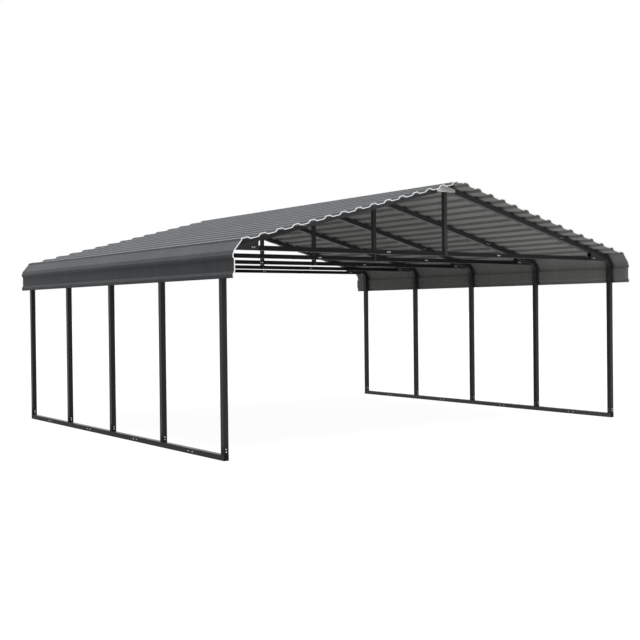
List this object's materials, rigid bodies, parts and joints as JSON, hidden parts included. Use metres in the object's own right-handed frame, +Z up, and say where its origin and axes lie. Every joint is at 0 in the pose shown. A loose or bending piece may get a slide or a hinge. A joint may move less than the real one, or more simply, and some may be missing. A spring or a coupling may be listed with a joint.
{
  "type": "carport",
  "caption": "Open carport: bents of square steel tube with curved corner bows, ties and king posts, under a low ribbed sheet roof with deep eaves.",
  "frame": {"origin": "centre of the building's plan on the ground, under the ridge and midway between the end bents", "axes": "+X across the building to the right seen from the front, +Y from the front to the back, +Z up"},
  "size_m": [6.149, 5.81, 2.9515],
  "materials": {
    "frame_tube": "charcoal powder coat, satin",
    "roof_sheet": "grey coil coating, satin",
    "end_cap": "black moulded plastic",
    "plain_plate": "light grey enamel, satin",
    "bright_zinc": "zinc-plated screws, bolts and cut sheet edges"
  },
  "bodies": {
    "root": {"left_end_rails": "frame_tube", "left_inner_rails": "frame_tube", "left_middle_rails": "frame_tube", "right_end_rails": "frame_tube", "right_inner_rails": "frame_tube", "right_middle_rails": "frame_tube", "left_posts": "frame_tube", "right_posts": "frame_tube", "left_corner_bows": "frame_tube", "right_corner_bows": "frame_tube", "left_rafters": "frame_tube", "right_rafters": "frame_tube", "peak_sleeves": "frame_tube", "left_tie_tubes": "frame_tube", "centre_tie_tubes": "frame_tube", "right_tie_tubes": "frame_tube", "king_posts": "frame_tube", "left_front_gussets": "frame_tube", "left_back_gussets": "frame_tube", "right_front_gussets": "frame_tube", "right_back_gussets": "frame_tube", "rail_end_caps": "end_cap", "left_eave_panel": "roof_sheet", "left_lower_sheet": "roof_sheet", "left_middle_sheet": "roof_sheet", "left_upper_sheet": "roof_sheet", "right_eave_panel": "roof_sheet", "right_lower_sheet": "roof_sheet", "right_middle_sheet": "roof_sheet", "right_upper_sheet": "roof_sheet", "ridge_cap": "roof_sheet", "peak_plate": "plain_plate"}
  },
  "joints": []
}
